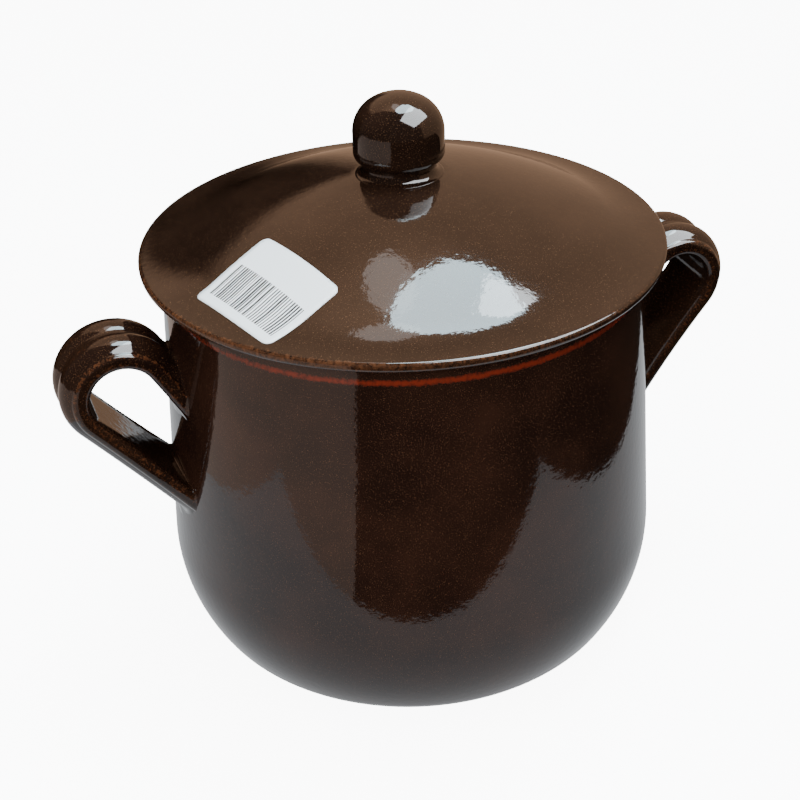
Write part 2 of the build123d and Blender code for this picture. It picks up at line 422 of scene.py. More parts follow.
def draw_pot(mesh):
    """Draws the pot's outline from the middle of its base, round the lip, to the middle of its floor."""
    curl_rise = LIP_OUTER_R * (1 - sin(radians(LIP_LEAN)))
    slope_top = ARRIS_Z + LIP_H - curl_rise
    slope_r = ARRIS_R - (slope_top - ARRIS_Z) * tan(radians(LIP_LEAN))
    pen = Pen(mesh, 0, 0).line_to(BASE_R, 0, 4)
    pen.arc(BASE_CORNER_R, BELLY_START_ANGLE, 28).arc(BELLY_ARC_R, NECK_ANGLE - BELLY_START_ANGLE, 12)
    pen.line_to(ARRIS_R + ARRIS_BAND_OUT, ARRIS_Z - ARRIS_BAND_H, 30).line_to(ARRIS_R, ARRIS_Z, 5)
    pen.line_to(slope_r, slope_top, 8).face(90 + LIP_LEAN).arc(LIP_OUTER_R, 90 - LIP_LEAN, 8)
    mouth_r = neck_radius(POT_H, POT_WALL)
    pen.line_to(mouth_r + LIP_INNER_R, POT_H).face(180).arc(LIP_INNER_R, 90 - NECK_LEAN, 5)
    inner_foot_r = NECK_FOOT_R - POT_WALL * cos(radians(NECK_LEAN))
    inner_foot_z = NECK_FOOT_Z - POT_WALL * sin(radians(NECK_LEAN))
    pen.line_to(inner_foot_r, inner_foot_z, 20).face(NECK_LEAN - 90)
    pen.arc(BELLY_ARC_R - POT_WALL, BELLY_START_ANGLE - NECK_ANGLE, 10)
    pen.arc(BASE_CORNER_R - POT_WALL, -BELLY_START_ANGLE, 16).line_to(0, POT_WALL, 4)


print(f"the mouth is {2 * neck_radius(POT_H, POT_WALL):.1f} mm wide inside")

# %% [markdown]
# Along the arris the glaze has run thin and the clay shows as a red line, strongest at the front. A point
# attribute holds that, because it follows the shape and needs no picture. The base keeps its bare clay as a
# second material.

# %% Pot
ARRIS_THIN_W, ARRIS_THIN_UP, ARRIS_THIN_DEPTH = 1.7, 0.4, 2.0
ARRIS_THIN_SIDE = -85.0
ARRIS_THIN_LEAST, ARRIS_THIN_MORE, ARRIS_THIN_POWER = 0.12, 0.46, 1.5


def mark_thin(mesh, measure):
    """Writes the thin-glaze mark of every point, as measured by a function of its place."""
    layer = mesh.verts.layers.float.new(THIN_MARK)
    for vert in mesh.verts:
        vert[layer] = measure(vert.co)


def near(value, centre, width):
    """One at a value and falling smoothly to nothing a width away."""
    share = min(abs(value - centre) / width, 1.0)
    return (1 - share * share) ** 2


def towards_side(place, angle):
    """One on the side of the axis that an angle gives, nothing on the opposite side."""
    return 0.5 + 0.5 * cos(atan2(place.y, place.x) - radians(angle))


def pot_thinness(place):
    """Thin along the arris under the lip, most at the front."""
    if hypot(place.x, place.y) <= ARRIS_R - ARRIS_THIN_DEPTH:
        return 0
    strength = ARRIS_THIN_LEAST + ARRIS_THIN_MORE * towards_side(place, ARRIS_THIN_SIDE) ** ARRIS_THIN_POWER
    return near(place.z, ARRIS_Z + ARRIS_THIN_UP, ARRIS_THIN_W) * strength


pot_mesh = bmesh.new()
draw_pot(pot_mesh)
turn_on_wheel(pot_mesh)
mark_thin(pot_mesh, pot_thinness)
for face in pot_mesh.faces:
    face.material_index = 1 if all(vert.co.z < WELD for vert in face.verts) else 0
finish_piece("pot", pot_mesh, "pot", ["pot_body"], [POT_GLAZE, BARE_CLAY])

# %% [markdown]
# The lid is a low dome that flares into a flat brim with a rounded edge. The dome and the brim are two arcs
# that meet at the same slope, so a reflection runs over the join without a kink. Their radii follow from
# the slopes.

# %% Lid sizes
LID_EDGE_TOP_R = 1.4
BRIM_W = 18.0
BRIM_END_SLOPE = 4.0
DOME_FOOT_SLOPE = 26.0
DOME_TOP_SLOPE = 9.8
KNOB_NECK_R = 12.0
KNOB_FLARE_R = 3.0
KNOB_FOOT_R = KNOB_NECK_R + KNOB_FLARE_R
DOME_FOOT_R = LID_R - BRIM_W
DOME_ARC_R = (DOME_FOOT_R - KNOB_FOOT_R) / arc_reach(DOME_TOP_SLOPE, DOME_FOOT_SLOPE)[0]
DOME_CENTRE_R = KNOB_FOOT_R - DOME_ARC_R * sin(radians(DOME_TOP_SLOPE))
BRIM_END_R = LID_R - LID_EDGE_TOP_R * (1 - sin(radians(BRIM_END_SLOPE)))
BRIM_ARC_R = (BRIM_END_R - DOME_FOOT_R) / arc_reach(BRIM_END_SLOPE, DOME_FOOT_SLOPE)[0]


def dome_height(radius, wall=0.0):
    """The height of the lid's dome at a radius, on a surface that lies a wall below the upper one."""
    centre_z = LID_TOP_Z - DOME_ARC_R * cos(radians(DOME_TOP_SLOPE))
    return centre_z + sqrt((DOME_ARC_R - wall) ** 2 - (radius - DOME_CENTRE_R) ** 2)


def lid_height(radius):
    """The height of the lid's upper surface at a radius, on its dome or on its brim."""
    if radius <= DOME_FOOT_R:
        return dome_height(radius)
    centre_r = DOME_FOOT_R + BRIM_ARC_R * sin(radians(DOME_FOOT_SLOPE))
    centre_z = dome_height(DOME_FOOT_R) + BRIM_ARC_R * cos(radians(DOME_FOOT_SLOPE))
    return centre_z - sqrt(BRIM_ARC_R**2 - (radius - centre_r) ** 2)


print(f"dome arc of radius {DOME_ARC_R:.1f}, brim arc of radius {BRIM_ARC_R:.1f} mm")

# %% [markdown]
# Underneath, the lid is hollow, with a ring that drops into the pot's mouth and keeps the lid from sliding.
# The hollow is an arc with the dome's own centre, so the dome is equally thick all over. The glaze runs
# thin along the edge, most at the left, and shows copper.

# %% Lid
LID_EDGE_UNDER_R = 2.0
LID_WALL = 6.0
RING_CLEARANCE = 2.4
RING_T = 5.0
RING_ROUND_R = 1.2
RING_FOOT_Z = LID_BOX[0][2] / MM
RING_R = neck_radius(POT_H, POT_WALL) - RING_CLEARANCE
EDGE_THIN_W = 2.2
EDGE_THIN_SIDE = -150.0
EDGE_THIN_LEAST, EDGE_THIN_MORE = 0.05, 0.30


def draw_lid(mesh):
    """Draws the lid's outline from the knob's foot, over the edge, round the ring and up under the dome."""
    pen = Pen(mesh, 0, LID_TOP_Z).line_to(KNOB_FOOT_R, LID_TOP_Z, 2).face(-DOME_TOP_SLOPE)
    pen.arc(DOME_ARC_R, DOME_TOP_SLOPE - DOME_FOOT_SLOPE, 30)
    pen.arc(BRIM_ARC_R, DOME_FOOT_SLOPE - BRIM_END_SLOPE, 18)
    pen.arc(LID_EDGE_TOP_R, BRIM_END_SLOPE - 90, 8).line_to(LID_R, POT_H + LID_EDGE_UNDER_R, 2)
    pen.arc(LID_EDGE_UNDER_R, -90, 8).line_to(RING_R, POT_H, 6)
    pen.line_to(RING_R, RING_FOOT_Z + RING_ROUND_R, 3).arc(RING_ROUND_R, -90, 4)
    pen.line_to(RING_R - RING_T + RING_ROUND_R, RING_FOOT_Z, 2).arc(RING_ROUND_R, -90, 4)
    under_foot_r = RING_R - RING_T
    under_arc_r = DOME_ARC_R - LID_WALL
    under_slope = degrees(asin((under_foot_r - DOME_CENTRE_R) / under_arc_r))
    pen.line_to(under_foot_r, dome_height(under_foot_r, LID_WALL), 3).face(180 - under_slope)
    pen.arc(under_arc_r, under_slope - DOME_TOP_SLOPE, 16).line_to(0, pen.tip.co.z, 2)


def lid_thinness(place):
    """Thin round the lid's edge, most at the left."""
    strength = EDGE_THIN_LEAST + EDGE_THIN_MORE * towards_side(place, EDGE_THIN_SIDE)
    return near(hypot(place.x, place.y), LID_R, EDGE_THIN_W) * strength


lid_mesh = bmesh.new()
draw_lid(lid_mesh)
turn_on_wheel(lid_mesh)
mark_thin(lid_mesh, lid_thinness)
finish_piece("lid", lid_mesh, "lid", ["lid_plate"], [LID_GLAZE])

# %% [markdown]
# The knob is thrown apart and stuck on with slip. Its neck flares into the lid, and its head is a short
# upright side under a dome, made of a shoulder arc and a flatter crown arc. It is small, so half as many
# facets do.

# %% Knob
KNOB_NECK_H = 4.5
KNOB_HEAD_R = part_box("lid_knob")[1][0] / MM
KNOB_SIDE_H = 6.6
KNOB_SHOULDER_R = 12.2
KNOB_SHOULDER_TURN = 60.0


def draw_knob(mesh):
    """Draws the knob's outline from the middle of its foot to the middle of its crown."""
    pen = Pen(mesh, 0, LID_TOP_Z).line_to(KNOB_FOOT_R, LID_TOP_Z, 3).face(180).arc(KNOB_FLARE_R, -90, 8)
    pen.line_to(KNOB_NECK_R, LID_TOP_Z + KNOB_NECK_H, 3).face(0)
    pen.arc(KNOB_HEAD_R - KNOB_NECK_R, 90, 12).line_to(KNOB_HEAD_R, pen.tip.co.z + KNOB_SIDE_H, 4)
    pen.arc(KNOB_SHOULDER_R, KNOB_SHOULDER_TURN, 14)
    crown_turn = 90 - KNOB_SHOULDER_TURN
    pen.arc(pen.tip.co.x / sin(radians(crown_turn)), crown_turn, 10)


knob_mesh = bmesh.new()
draw_knob(knob_mesh)
turn_on_wheel(knob_mesh, ROUND_STEPS // 2)
finish_piece("knob", knob_mesh, "lid", ["lid_knob"], [LID_GLAZE])

# %% [markdown]
# Each handle is a pulled strap of clay, ribbed along its outer face by the potter's fingers. Half of its
# section is drawn with the same pen and mirrored. The groove, the rib, a small step and the edge are all
# arcs, so the glaze catches the light along them.

# %% Strap sizes
STRAP_W = 28.0
STRAP_T = 9.0
GROOVE_R = 2.5
RIB_SLOPE = 30.0
RIB_END_SLOPE = 50.0
STEP_R = 0.9
STEP_TURN = 35.0
SHOULDER_R = 2.2
HEEL_R = 1.8
SHOULDER_SLOPE = RIB_END_SLOPE - STEP_TURN
SHOULDER_W = SHOULDER_R * (1 - sin(radians(SHOULDER_SLOPE)))
STEP_W = STEP_R * (sin(radians(RIB_END_SLOPE)) - sin(radians(SHOULDER_SLOPE)))
GROOVE_W = GROOVE_R * sin(radians(RIB_SLOPE))
RIB_W = STRAP_W / 2 - GROOVE_W - STEP_W - SHOULDER_W
RIB_R = RIB_W / (sin(radians(RIB_SLOPE)) + sin(radians(RIB_END_SLOPE)))
CREST_X = GROOVE_W + RIB_R * sin(radians(RIB_SLOPE))
GROOVE_DEPTH = (RIB_R + GROOVE_R) * (1 - cos(radians(RIB_SLOPE)))
print(f"strap ribs of radius {RIB_R:.1f}, groove {GROOVE_DEPTH:.2f} mm deep")

# %% [markdown]
# The glaze thins on the crest of each rib, on the shoulders and on the heels, by a different amount on
# each. The marks are set on the section, before it is swept, because every operator that copies a point
# copies its marks too.

# %% Strap section
CREST_THIN, CREST_THIN_W = 0.12, 2.4
SHOULDER_THIN, SHOULDER_THIN_W = 0.24, 1.6
HEEL_THIN, HEEL_THIN_W, HEEL_Z = 0.18, 1.5, -1.5


def strap_thinness(place):
    """Thin on the crests and shoulders of the outer face and on the heels of the inner one."""
    across = abs(place.x)
    if place.z > 0:
        crest = CREST_THIN * near(across, CREST_X, CREST_THIN_W)
        return max(crest, SHOULDER_THIN * near(across, (STRAP_W - SHOULDER_W) / 2, SHOULDER_THIN_W))
    return HEEL_THIN * near(across, STRAP_W / 2, HEEL_THIN_W) if place.z < HEEL_Z else 0


def draw_strap_section(mesh):
    """Draws the strap's closed section about its centre: x runs across and z points to its outer face."""
    pen = Pen(mesh, 0, STRAP_T / 2 - GROOVE_DEPTH).arc(GROOVE_R, RIB_SLOPE, 4)
    pen.arc(RIB_R, -RIB_SLOPE - RIB_END_SLOPE, 12).arc(STEP_R, STEP_TURN, 3)
    pen.arc(SHOULDER_R, SHOULDER_SLOPE - 90, 5).line_to(STRAP_W / 2, HEEL_R - STRAP_T / 2, 2)
    pen.arc(HEEL_R, -90, 4).line_to(0, -STRAP_T / 2, 4)
    half = mesh.verts[:] + mesh.edges[:]
    bmesh.ops.mirror(mesh, geom=half, matrix=Matrix.Identity(4), merge_dist=WELD, axis="X")
    mark_thin(mesh, strap_thinness)


section = bmesh.new()
draw_strap_section(section)
print(f"strap section: {len(section.verts)} points")
section.free()

# %% [markdown]
# The strap's arms end where they meet the pot's wall. The wall is known as a formula, so the place is found
# by halving a distance again and again. A boolean could cut the strap off there, but it would leave a
# ragged edge.

# %% Wall that the arms meet
FARTHEST_WALL = 80.0
HALVINGS = 40


def wall_radius(z):
    """The radius of the pot's outside at a height, on its neck or its belly."""
    if z >= NECK_FOOT_Z:
        return neck_radius(z)
    centre_r = NECK_FOOT_R - BELLY_ARC_R * sin(radians(NECK_ANGLE))
    centre_z = NECK_FOOT_Z + BELLY_ARC_R * cos(radians(NECK_ANGLE))
    return centre_r + sqrt(BELLY_ARC_R**2 - (z - centre_z) ** 2)


def way_to_wall(place, along):
    """How far a place is from the pot's wall in a direction, found by halving."""
    short, long = 0.0, FARTHEST_WALL
    for _ in range(HALVINGS):
        middle = (short + long) / 2
        tried = place + middle * along
        if hypot(tried.x, tried.y) > wall_radius(tried.z):
            short = middle
        else:
            long = middle
    return short


def wall_normal(place):
    """The direction that the pot's neck faces at a place on it."""
    return Vector((place.x, place.y, hypot(place.x, place.y) * tan(radians(NECK_LEAN)))).normalized()


print(f"the wall is {wall_radius(POT_H / 2):.1f} mm from the axis at half the pot's height")

# %% [markdown]
# Where clay is luted to clay the potter smooths the corner with a thumb. So each arm is planned point by
# point: a straight stretch that widens towards the wall, and then a curve that starts along the arm and
# ends along the wall, with the clay smeared outwards from the middle of the joint, farthest downwards.

# %% Plan of an arm
SINK = 0.3
LONGEST_SETBACK_SHARE = 0.9


def smear_length(rise, smear):
    """How far clay is smeared along the wall in a direction, from the lengths up, sideways and down."""
    up, side, down = smear
    end = up if rise > 0 else down
    return side + (end - side) * rise * rise


def arm_plan(ring, along, spread, smear):
    """For each point of a ring: where it starts, where its arm meets the wall, and where its smear ends."""
    meets = {}
    for vert in ring:
        wide = Vector((vert.co.x, vert.co.y * spread, vert.co.z))
        meets[vert] = wide + way_to_wall(wide, along) * along
    middle = sum(meets.values(), Vector()) / len(meets)
    plans = {}
    for vert, meet in meets.items():
        facing = wall_normal(meet)
        outward = meet - middle
        outward = (outward - outward.dot(facing) * facing).normalized()
        length = smear_length(outward.z, smear)
        foot = meet + length * outward
        shrink = (wall_radius(foot.z) - SINK) / hypot(foot.x, foot.y)
        foot = Vector((foot.x * shrink, foot.y * shrink, foot.z))
        setback = min(length, LONGEST_SETBACK_SHARE * (meet - vert.co).length)
        plans[vert] = (vert.co.copy(), meet, foot, setback)
    return plans


def arm_place(plan, along, share):
    """A place on the straight stretch of an arm, which widens towards the wall."""
    start, meet, _, setback = plan
    end = meet - setback * along
    place = start.lerp(end, share)
    place.y = start.y + (end.y - start.y) * share * share
    return place


def thumb_place(plan, along, share):
    """A place on the thumbed corner between an arm and the wall."""
    _, meet, foot, setback = plan
    first = (meet - setback * along).lerp(meet, share)
    return first.lerp(meet.lerp(foot, share), share)


print(f"smeared ends sink {SINK} mm into the wall")

# %% [markdown]
# The arm then grows ring by ring. Each ring of edges is extruded once, and every new point is sent to the
# place that the plan of its forebear gives. The last ring lies inside the wall and is filled, so the mesh
# is closed.

# %% Arms
ARM_RINGS = 14
THUMB_RINGS = 12


def next_ring(mesh, ring, edges):
    """Extrudes a ring of edges, and returns the new edges and, for each old point, the new one."""
    new = bmesh.ops.extrude_edge_only(mesh, edges=edges)["geom"]
    new_edges = [item for item in new if isinstance(item, bmesh.types.BMEdge)]
    heirs = {}
    for vert in (item for item in new if isinstance(item, bmesh.types.BMVert)):
        for edge in vert.link_edges:
            parent = edge.other_vert(vert)
            if parent in ring:
                heirs[parent] = vert
    return new_edges, heirs


def add_arm(mesh, edges, along, spread, smear):
    """Grows an arm from a ring of edges to the wall, and closes its end inside the wall."""
    ring = dict.fromkeys(vert for edge in edges for vert in edge.verts)
    plans = arm_plan(ring, along, spread, smear)
    rings = [(arm_place, number / ARM_RINGS) for number in range(1, ARM_RINGS + 1)]
    rings += [(thumb_place, number / THUMB_RINGS) for number in range(1, THUMB_RINGS + 1)]
    for place, share in rings:
        edges, heirs = next_ring(mesh, plans, edges)
        plans = {heirs[vert]: plan for vert, plan in plans.items()}
        for vert, plan in plans.items():
            vert.co = place(plan, along, share)
    bmesh.ops.holes_fill(mesh, edges=edges)


print("rings in each arm:", ARM_RINGS + THUMB_RINGS)

# %% [markdown]
# The strap rises from the neck, bends over and runs back down to the belly. A spin of the section makes the
# bend, and the two arms grow from its ends. Both handles are made on the right, and one is turned round to
# the left.

# %% Handles
BEND_DROP = 30.5
BEND_STANDOFF = 19.1
BEND_R = 15.7
BEND_STEPS = 44
UPPER_ARM_RISE = 60.0
LOWER_ARM_SLOPE = 50.0
UPPER_SPREAD = 1.08
LOWER_SPREAD = 1.25
UPPER_SMEAR = (5.0, 1.6, 9.0)
LOWER_SMEAR = (4.0, 1.6, 13.0)


def turn_about_axis(mesh, angle):
    """Turns a mesh about the pot's axis."""
    bmesh.ops.rotate(mesh, cent=(0, 0, 0), matrix=Matrix.Rotation(radians(angle), 3, "Z"), verts=mesh.verts)


def make_handle(name, node, turn):
    """Makes one handle on the +X side and turns it about the pot's axis to its place."""
    bend_z = POT_H - BEND_DROP
    centre = Vector((neck_radius(bend_z) + BEND_STANDOFF, 0, bend_z))
    across, outer = Vector((0, 1, 0)), heading(UPPER_ARM_RISE + 90)
    axes = Matrix((across, outer.cross(across), outer)).transposed().to_4x4()
    mesh = bmesh.new()
    draw_strap_section(mesh)
    bmesh.ops.transform(mesh, matrix=Matrix.Translation(centre + BEND_R * outer) @ axes, verts=mesh.verts)
    first_edges = mesh.edges[:]
    trail = bmesh.ops.spin(
        mesh,
        geom=mesh.verts[:] + first_edges,
        cent=centre,
        axis=(0, 1, 0),
        angle=radians(UPPER_ARM_RISE + 180 - LOWER_ARM_SLOPE),
        steps=BEND_STEPS,
    )
    last_edges = [item for item in trail["geom_last"] if isinstance(item, bmesh.types.BMEdge)]
    add_arm(mesh, first_edges, -heading(UPPER_ARM_RISE), UPPER_SPREAD, UPPER_SMEAR)
    add_arm(mesh, last_edges, -heading(LOWER_ARM_SLOPE), LOWER_SPREAD, LOWER_SMEAR)
    bmesh.ops.recalc_face_normals(mesh, faces=mesh.faces)
    turn_about_axis(mesh, turn)
    finish_piece(name, mesh, "pot", [node], [HANDLE_GLAZE])


make_handle("right_handle", "handle_right", 0)
make_handle("left_handle", "handle_left", 180)

# %% [markdown]
# A paper label is stuck on the lid. It starts as a flat rectangle. A bevel of its points rounds the
# corners, and plane cuts both ways let it bend later. The flat sheet's own places are kept as its UV map,
# so that a print can follow them.

# %% Label sheet
LABEL_L = 40.0
LABEL_W = 30.0
LABEL_CORNER_R = 2.6
LABEL_CUTS = 20
SHEET_MAP = "sheet"


def cut_label(mesh):
    """Makes the flat sheet about its centre: rounded corners, cut both ways so that it can bend."""
    bmesh.ops.create_grid(mesh, x_segments=1, y_segments=1, size=0.5)
    bmesh.ops.scale(mesh, vec=(LABEL_L, LABEL_W, 1), verts=mesh.verts)
    corners = mesh.verts[:]
    bmesh.ops.bevel(
        mesh, geom=corners, affect="VERTICES", offset=LABEL_CORNER_R, segments=6, profile=0.5, material=-1
    )
    for length, normal in ((LABEL_L, Vector((1, 0, 0))), (LABEL_W, Vector((0, 1, 0)))):
        for number in range(1, LABEL_CUTS):
            place = normal * length * (number / LABEL_CUTS - 0.5)
            geometry = mesh.verts[:] + mesh.edges[:] + mesh.faces[:]
            bmesh.ops.bisect_plane(mesh, geom=geometry, plane_co=place, plane_no=normal)


def map_label(mesh):
    """Keeps the flat sheet's places as a UV map."""
    layer = mesh.loops.layers.uv.new(SHEET_MAP)
    for face in mesh.faces:
        for corner in face.loops:
            corner[layer].uv = (corner.vert.co.x / LABEL_L + 0.5, corner.vert.co.y / LABEL_W + 0.5)


label_mesh = bmesh.new()
cut_label(label_mesh)
map_label(label_mesh)
print("flat label:", len(label_mesh.faces), "faces")

# %% [markdown]
# Every point of the sheet is laid on the lid's curve by the same formula that shaped the lid, so the paper
# bends as paper does and nowhere sinks in. Only then does it get its thickness, because a solidify follows
# the bent faces.

# %% Label on the lid
LABEL_T = 0.15
LABEL_LIFT = 0.03
LABEL_INSET = 22.7
LABEL_CENTRE_R = LID_R - LABEL_INSET
LABEL_PLACE_ANGLE = -149.5
LABEL_TURN = -72.0


def lay_label(mesh):
    """Lays the sheet on the lid, face up, and gives it its thickness."""
    slope = radians((DOME_FOOT_SLOPE + DOME_TOP_SLOPE) / 2)
    around = radians(LABEL_PLACE_ANGLE)
    centre = Vector((cos(around), sin(around), 0)) * LABEL_CENTRE_R
    turn = Matrix.Rotation(radians(LABEL_TURN), 3, "Z")
    for vert in mesh.verts:
        place = centre + turn @ Vector((vert.co.x, vert.co.y * cos(slope), 0))
        vert.co = (place.x, place.y, lid_height(hypot(place.x, place.y)) + LABEL_LIFT)
    bmesh.ops.recalc_face_normals(mesh, faces=mesh.faces)
    if sum(face.normal.z for face in mesh.faces) < 0:
        bmesh.ops.reverse_faces(mesh, faces=mesh.faces)
    bmesh.ops.solidify(mesh, geom=mesh.faces[:], thickness=-LABEL_T)
    bmesh.ops.recalc_face_normals(mesh, faces=mesh.faces)


lay_label(label_mesh)
print("label with its thickness:", len(label_mesh.faces), "faces")

# %% [markdown]
# The print is a block of bars. Each has its own cell of the sheet's length, and a white noise gives every
# cell a number, which sets how much of it is dark. So no two bars need be alike, and the bars code nothing.

# %% Label print
PAPER_ROUGHNESS = 0.45
PAPER_WHITE, INK_BLACK = (0.91, 0.95, 0.98, 1), (0.012, 0.012, 0.014, 1)
BAR_COUNT = 36.0
BAR_THINNEST, BAR_WIDEST = 0.28, 0.80
BARS_LEFT, BARS_RIGHT = 0.075, 0.925
BARS_LOW, BARS_HIGH = 0.13, 0.58


def between(tree, value, low, high):
    """Adds nodes that give one where a value lies between two limits and nothing elsewhere."""
    above = calculate(tree, "GREATER_THAN", value, low)
    below = calculate(tree, "LESS_THAN", value, high)
    return calculate(tree, "MULTIPLY", above, below)


def label_paper():
    """White paper with a block of made-up bars."""
    material, tree, shader = new_material("label paper", Roughness=PAPER_ROUGHNESS)
    sheet = tree.nodes.new("ShaderNodeUVMap")
    sheet.uv_map = SHEET_MAP
    split = add_node(tree, "ShaderNodeSeparateXYZ", Vector=sheet.outputs["UV"])
    right, up = split.outputs["X"], split.outputs["Y"]
    cell = calculate(tree, "MULTIPLY", right, BAR_COUNT)
    chance = tree.nodes.new("ShaderNodeTexWhiteNoise")
    chance.noise_dimensions = "1D"
    feed(tree, chance.inputs["W"], calculate(tree, "FLOOR", cell))
    spread = BAR_WIDEST - BAR_THINNEST
    width = calculate(tree, "MULTIPLY_ADD", chance.outputs["Value"], spread, BAR_THINNEST)
    dark = calculate(tree, "LESS_THAN", calculate(tree, "FRACT", cell), width)
    in_length = between(tree, right, BARS_LEFT, BARS_RIGHT)
    in_height = between(tree, up, BARS_LOW, BARS_HIGH)
    ink = calculate(tree, "MULTIPLY", dark, calculate(tree, "MULTIPLY", in_length, in_height))
    feed(tree, shader.inputs["Base Color"], mix_colour(tree, ink, PAPER_WHITE, INK_BLACK))
    return material


finish_piece("label", label_mesh, "lid", ["price_label"], [label_paper()])

# %% [markdown]
# The photograph was taken from above and to one side. A long lens a little over half a metre away, tipped
# slightly, gives the same rim ellipses and the same lean. The lens's length comes from a focal length
# counted in pixels.

# %% Camera
CAMERA_AZIMUTH = -20.0
CAMERA_ELEVATION = 31.14
CAMERA_DISTANCE = 0.55292
CAMERA_AIM_Z = 0.08263
CAMERA_ROLL = 1.96
IMAGE_SIZE = 800
FOCAL_PIXELS = 1510.83
SHIFT_RIGHT_PIXELS = 7.64
SHIFT_DOWN_PIXELS = 1.2
SENSOR = 36.0


def toward(azimuth, elevation):
    """The direction at an azimuth, counted from the front towards the right, and at an elevation."""
    around, up = radians(azimuth), radians(elevation)
    return Vector((sin(around) * cos(up), -cos(around) * cos(up), sin(up)))


def add_camera():
    """Adds the camera at the photograph's angle and makes it the scene's camera."""
    data = bpy.data.cameras.new("photo camera")
    data.sensor_fit = "HORIZONTAL"
    data.sensor_width = SENSOR
    data.lens = SENSOR * FOCAL_PIXELS / IMAGE_SIZE
    data.shift_x = -SHIFT_RIGHT_PIXELS / IMAGE_SIZE
    data.shift_y = SHIFT_DOWN_PIXELS / IMAGE_SIZE
    camera = bpy.data.objects.new("photo camera", data)
    bpy.context.scene.collection.objects.link(camera)
    back = toward(CAMERA_AZIMUTH, CAMERA_ELEVATION)
    place = Matrix.Translation(Vector((0, 0, CAMERA_AIM_Z)) + CAMERA_DISTANCE * back)
    look = (-back).to_track_quat("-Z", "Y").to_matrix().to_4x4()
    camera.matrix_world = place @ look @ Matrix.Rotation(radians(-CAMERA_ROLL), 4, "Z")
    bpy.context.scene.camera = camera
    return camera


camera = add_camera()
print("camera at", [round(number, 4) for number in camera.matrix_world.translation])

# %% [markdown]
# A white floor in front of a white wall makes a plain studio. Both glow, as a table and a wall under strong
# light do, so the shadow on the floor is faint. Neither is mirrored in the glaze: cards, further on, stand
# in for them there, because a mirror image of an all-white room would hide the brown.

# %% Floor and wall
STUDIO_R = 6.0
FLOOR_GREY = (0.9, 0.9, 0.9)
FLOOR_GLOW = 9.0
DOME_GLOW = 9.5


def stage_material(name, colour, glow, strength):
    """A matt material with one colour and one glow."""
    material, _, _ = new_material(
        name,
        Base_Color=(*colour, 1),
        Roughness=1.0,
        Specular_IOR_Level=0.0,
        Emission_Color=(*glow, 1),
        Emission_Strength=strength,
    )
    return material


def add_stage(name, mesh, material, unseen_by):
    """Makes a bmesh into an object of the studio that some kinds of ray don't see."""
    data = bpy.data.meshes.new(name)
    mesh.to_mesh(data)
    mesh.free()
    data.materials.append(material)
    piece = bpy.data.objects.new(name, data)
    bpy.context.scene.collection.objects.link(piece)
    for ray in unseen_by:
        setattr(piece, f"visible_{ray}", False)


floor_mesh = bmesh.new()
bmesh.ops.create_circle(floor_mesh, cap_ends=True, segments=64, radius=STUDIO_R)
floor_material = stage_material("pale floor", FLOOR_GREY, WHITE, FLOOR_GLOW)
add_stage("floor", floor_mesh, floor_material, ("glossy", "diffuse"))
dome_mesh = bmesh.new()
bmesh.ops.create_uvsphere(dome_mesh, u_segments=64, v_segments=32, radius=STUDIO_R)
dome_material = stage_material("pale dome", BLACK, WHITE, DOME_GLOW)
add_stage("dome", dome_mesh, dome_material, ("glossy", "diffuse", "shadow"))
print(f"floor and dome of {STUDIO_R} m radius")

# %% [markdown]
# Two oval softboxes hang where the lid has its bright patches. Two wide fills light the clay's colour and
# the label, and are kept out of the mirror image. The world is a dim warm grey, for what the glaze mirrors
# between the cards.

# %% Lights
SOFTBOX_AIM = Vector((0, 0, 0.12))
WORLD_COLOUR = (0.06, 0.055, 0.05, 1)


def add_softbox(name, azimuth, elevation, distance, size, watts, tint=WHITE, mirrored=True):
    """Adds an area light that faces the pot, with its azimuth counted from the camera's side."""
    data = bpy.data.lights.new(name, "AREA")
    data.shape = "ELLIPSE"
    data.size, data.size_y = size
    data.energy = watts
    data.color = tint
    light = bpy.data.objects.new(name, data)
    bpy.context.scene.collection.objects.link(light)
    away = distance * toward(azimuth + CAMERA_AZIMUTH, elevation)
    facing = away.to_track_quat("Z", "Y").to_matrix().to_4x4()
    light.matrix_world = Matrix.Translation(SOFTBOX_AIM + away) @ facing
    light.visible_glossy = mirrored
    print(f"{name}: {watts} W at {distance} m")


add_softbox("lid softbox", 135.0, 75.5, distance=1.3, size=(0.50, 0.76), watts=20.0, tint=(0.68, 0.90, 1.0))
add_softbox("side softbox", 190.0, 73.0, distance=1.35, size=(0.26, 0.40), watts=0.6)
add_softbox("top fill", 0.0, 85.0, distance=2.2, size=(2.4, 2.4), watts=70.0, mirrored=False)
add_softbox("front fill", -10.0, 28.0, distance=2.0, size=(1.6, 1.2), watts=44.0, mirrored=False)
world = bpy.data.worlds.new("studio")
world.use_nodes = True
feed_all(world.node_tree, world.node_tree.nodes["Background"], {"Color": WORLD_COLOUR, "Strength": 1.0})
bpy.context.scene.world = world

# %% [markdown]
# A gloss this dark takes its tone from what it mirrors, so product photographers set cards just outside the
# picture. On the floor lie a grey mat under the pot, a warm card to the left of it, a dark one to the
# right, and a small dark one behind. Cards are seen by mirror rays alone: they throw no shade, and no
# camera shows them.

# %% Cards on the floor
CARD_GAP = 0.001
CARD_STRENGTH = 1.0
MAT_HALF_W, MAT_FRONT, MAT_BACK = 0.21, 0.165, -0.42
MAT_GREY, CARD_WARM, CARD_DARK = (0.80, 0.83, 0.86), (0.78, 0.62, 0.54), (0.03, 0.02, 0.015)
CARD_FAR, CARD_BACK = 2.0, -0.25
SPLIT_NEAR, SPLIT_FAR = 0.0, -0.75
SHADE_LEFT, SHADE_RIGHT, SHADE_BACK, SHADE_FRONT = -0.12, 0.08, -0.36, -0.10


